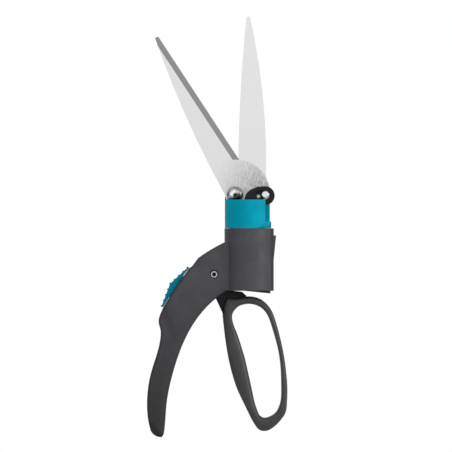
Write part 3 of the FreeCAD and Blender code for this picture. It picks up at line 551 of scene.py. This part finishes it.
def on_track(point):
    """A place of the rest frame as (along the slide's track, out of the grip) in millimetres."""
    across = point.x / MM - SWIVEL_X - TRACK_PLACE[0]
    up = point.z / MM - TRACK_PLACE[1]
    return (across * TRACK_ALONG[0] + up * TRACK_ALONG[1],
            -across * TRACK_ALONG[1] + up * TRACK_ALONG[0])


def seat_height(along):
    """Height the seat may reach at this spot, under the thumb slide all through its travel."""
    def underside(where):
        return SLIDE_HEIGHT - SLIDE_CURVE * (where - SLIDE_MIDDLE) ** 2
    pushed = min(SEAT_HALF, along + SLIDE_TRAVEL)
    return min(underside(along), underside(pushed)) - SEAT_CLEARANCE


def seat_lift(outline):
    """Function of a place on the track that gives how far the seat rises there."""
    surface = {}
    for point in outline:
        along, out = on_track(point)
        if abs(along) < SEAT_HALF + SEAT_MARGIN and abs(out) < SEAT_DEPTH:
            surface[round(along)] = max(out, surface.get(round(along), out))

    def height(along):
        return surface[min(surface, key=lambda known: abs(known - along))]

    def lift(along, out):
        if abs(along) > SEAT_HALF + SEAT_FADE:
            return 0.0
        before = math.floor(along)
        share = along - before
        top = height(before) * (1.0 - share) + height(before + 1) * share
        buried = clamped((top - out) / SEAT_DEPTH)
        ends = min(1.0, (SEAT_HALF + SEAT_FADE - abs(along)) / SEAT_FADE)
        return max(0.0, seat_height(along) - top) * (1.0 - buried) * ends

    return lift


def rounded_shell(name, node):
    """Handle half whose lower grip is worn round for the palm, with a hollow at the horn."""
    work = welded(node)
    outline = grip_outline(work)
    refined(work)
    nearest = KDTree(len(outline))
    for index, point in enumerate(outline):
        nearest.insert((point.x, 0.0, point.z), index)
    nearest.balance()
    lift = seat_lift(outline)
    for corner in work.verts:
        across = corner.co.x / MM - SWIVEL_X
        deep = corner.co.y / MM - SWIVEL_Y
        up = corner.co.z / MM
        if math.hypot(across, deep) < BARREL_REACH or across > 0.0:
            continue
        distance = nearest.find((corner.co.x, 0.0, corner.co.z))[2] / MM
        radius = rounding(up)
        face = crown(distance, radius) - scoop(across, up)
        new_depth = math.copysign(bent_depth(abs(deep), distance, radius, face), deep)
        corner.co.y = (new_depth + SWIVEL_Y) * MM
        rise = lift(*on_track(corner.co)) * MM
        corner.co.x -= rise * TRACK_ALONG[1]
        corner.co.z += rise * TRACK_ALONG[0]
    bmesh.ops.dissolve_degenerate(work, dist=SLIVER * MM, edges=work.edges)
    stand_in(name, finished(name, work), CRISP_ANGLE, node, "handle", "grey_shell")


# ---------------------------------------------------------------- finger loop
# Outer and inner points of the finger loop, once round from the top, measured from the foot of
# the swivel axis: (outer x, outer z, inner x, inner z).
LOOP_PAIRS = (
    (0.2, 117.1, 0.2, 110.7), (8.2, 115.7, 6.5, 109.7), (14.6, 111.7, 11.9, 106.7),
    (20.0, 104.5, 16.4, 100.8), (24.2, 92.5, 20.0, 90.9), (28.3, 76.0, 24.5, 74.7),
    (30.9, 61.5, 26.8, 60.2), (32.66, 44.0, 27.5, 44.0), (32.6, 31.4, 27.2, 31.4),
    (31.7, 21.5, 25.0, 24.0), (28.1, 15.1, 22.8, 20.5), (22.7, 9.3, 20.0, 18.3),
    (17.3, 5.7, 16.5, 16.7), (12.3, 5.0, 13.4, 16.2), (8.2, 6.9, 11.0, 17.1),
    (3.7, 13.4, 9.2, 18.9), (-0.6, 22.0, 7.4, 23.2), (-5.0, 31.0, 5.6, 28.8),
    (-9.3, 40.4, 3.6, 37.8), (-12.6, 50.3, 1.8, 46.3), (-15.2, 60.2, -0.3, 55.6),
    (-17.2, 70.0, -2.6, 65.6), (-18.8, 80.1, -5.6, 75.6), (-20.2, 91.5, -8.6, 84.9),
    (-21.2, 103.0, -11.7, 92.6), (-20.3, 110.6, -13.2, 98.9), (-18.0, 115.9, -12.6, 103.1),
    (-13.8, 115.9, -10.1, 106.6), (-9.6, 115.6, -6.3, 109.4),
)
LOOP_HALF = 6.6
STEPS_PER_PAIR = 5
SECTION_POINTS = 28
SECTION_POWER = 2.0 / 2.7

# A bar wider than THIN_BAR slopes off from a ridge; at BAR_SPAN more it slopes by BAR_SLOPE.
THIN_BAR = 5.5
BAR_SPAN = 6.0
BAR_SLOPE = 0.34
BAR_RIDGE = 0.68


def between(before, start, end, after, share):
    """A point on the smooth curve through start and end, by their neighbours too."""
    return [0.5 * (2 * b + (c - a) * share + (2 * a - 5 * b + 4 * c - d) * share ** 2
                   + (3 * b - a - 3 * c + d) * share ** 3)
            for a, b, c, d in zip(before, start, end, after)]


def squared_off(wave):
    """Makes a round section's sine or cosine fuller at the corners."""
    return math.copysign(abs(wave) ** SECTION_POWER, wave)


def loop_section(outer, inner):
    """Soft-cornered section of the loop's bar; a broad bar slopes down from an inner ridge."""
    width = math.hypot(outer[0] - inner[0], outer[1] - inner[1])
    slope = BAR_SLOPE * clamped((width - THIN_BAR) / BAR_SPAN)
    points = []
    for step in range(SECTION_POINTS):
        angle = 2 * math.pi * step / SECTION_POINTS
        share = 0.5 + 0.5 * squared_off(math.cos(angle))
        height = 1.0 - slope * max(0.0, BAR_RIDGE - share) / BAR_RIDGE
        x = outer[0] + (inner[0] - outer[0]) * share
        y = squared_off(math.sin(angle)) * LOOP_HALF * height
        z = outer[1] + (inner[1] - outer[1]) * share
        points.append(((x + SWIVEL_X) * MM, (y + SWIVEL_Y) * MM, z * MM))
    return points


def finger_loop():
    """The loop as a ring of sections, joined by quads."""
    count = len(LOOP_PAIRS)
    vertices = []
    for index in range(count):
        near = [LOOP_PAIRS[(index + offset) % count] for offset in (-1, 0, 1, 2)]
        for step in range(STEPS_PER_PAIR):
            place = between(*near, step / STEPS_PER_PAIR)
            vertices += loop_section(place[:2], place[2:])
    rings = count * STEPS_PER_PAIR
    faces = []
    for ring in range(rings):
        here = ring * SECTION_POINTS
        there = (ring + 1) % rings * SECTION_POINTS
        for step in range(SECTION_POINTS):
            after = (step + 1) % SECTION_POINTS
            faces.append((here + step, here + after, there + after, there + step))
    mesh = bpy.data.meshes.new("finger_loop_grip")
    mesh.from_pydata(vertices, [], faces)
    stand_in("finger_loop_grip", mesh, NEVER_CRISP, "finger_loop", "lever", "grey_loop")


# ---------------------------------------------------------------- light, floor, camera
FLOOR_HALF = 1500.0
LAMP_AIM = (0.0, 0.0, 170.0)
CAMERA_PLACE = (7.2, -1200.0, 175.55)
VIEW_WIDTH = 376.06


def studio():
    """Pale surroundings: brightest toward the front and right, dim behind, white as a backdrop."""
    world = bpy.data.worlds.new("studio")
    world.use_nodes = True
    bpy.context.scene.world = world
    tree = world.node_tree
    direction = add_node(tree, "TexCoord")
    split = add_node(tree, "SeparateXYZ", Vector=direction.outputs["Generated"])
    front = ranged(tree, split.outputs["Y"], 0.1, -0.95, 0.2, 0.98)
    side = ranged(tree, split.outputs["X"], -1.0, 1.0, -0.12, 0.12)
    low = ranged(tree, split.outputs["Z"], -0.7, 0.0, 0.35, 1.0)
    around = operated(tree, "ADD", front, side)
    light = tree.nodes["Background"]
    light.inputs["Color"].default_value = (1, 1, 1, 1)
    tree.links.new(operated(tree, "MULTIPLY", around, low), light.inputs["Strength"])
    backdrop = add_node(tree, "Background", Color=(1, 1, 1, 1), Strength=1.0)
    path = add_node(tree, "LightPath")
    mix = add_node(tree, "MixShader")
    tree.links.new(path.outputs["Is Camera Ray"], mix.inputs[0])
    tree.links.new(light.outputs[0], mix.inputs[1])
    tree.links.new(backdrop.outputs[0], mix.inputs[2])
    tree.links.new(mix.outputs[0], tree.nodes["World Output"].inputs["Surface"])


def soft_box(name, place, size, power):
    """Square lamp, size millimetres wide, that points at the middle of the shears."""
    lamp = bpy.data.lights.new(name, "AREA")
    lamp.shape = "SQUARE"
    lamp.size = size * MM
    lamp.energy = power
    holder = add_object(name, lamp)
    holder.location = Vector(place) * MM
    direction = Vector(LAMP_AIM) - Vector(place)
    holder.rotation_euler = direction.to_track_quat("-Z", "Y").to_euler()


def floor(level):
    """Plain pale floor at a level in metres."""
    half = FLOOR_HALF * MM
    mesh = bpy.data.meshes.new("floor")
    mesh.from_pydata([(-half, -half, level), (half, -half, level), (half, half, level),
                      (-half, half, level)], [], [(0, 1, 2, 3)])
    plane = add_object("floor", mesh)
    material, _, shader = new_material("pale_floor", specular=0.2)
    shader.inputs["Base Color"].default_value = (0.86, 0.86, 0.85, 1)
    shader.inputs["Roughness"].default_value = 0.8
    mesh.materials.append(material)


def camera():
    """Level and square on to the front, without perspective."""
    data = bpy.data.cameras.new("camera")
    data.type = "ORTHO"
    data.ortho_scale = VIEW_WIDTH * MM
    holder = add_object("camera", data)
    holder.location = Vector(CAMERA_PLACE) * MM
    holder.rotation_euler = (math.radians(90), 0, 0)
    bpy.context.scene.camera = holder


paint_frame()
rounded_shell("front_shell_rounded", "handle_front_shell")
rounded_shell("rear_shell_rounded", "handle_rear_shell")
finger_loop()
softened("cover_softened", "rear_barrel_cover", "handle", "grey_shell", width=0.35)
softened("slider_softened", "lock_slider", "lock_slider", "teal_plastic", width=0.25)
softened("yoke_softened", "yoke_plate", "pull_rod", "black_steel", width=0.25)
studio()
soft_box("key", (1100.0, -350.0, 400.0), size=500.0, power=3.5)
soft_box("back", (-600.0, 1500.0, 800.0), size=2000.0, power=11)
floor(cad_box[0][2])
camera()
bpy.context.scene.view_settings.view_transform = "Standard"
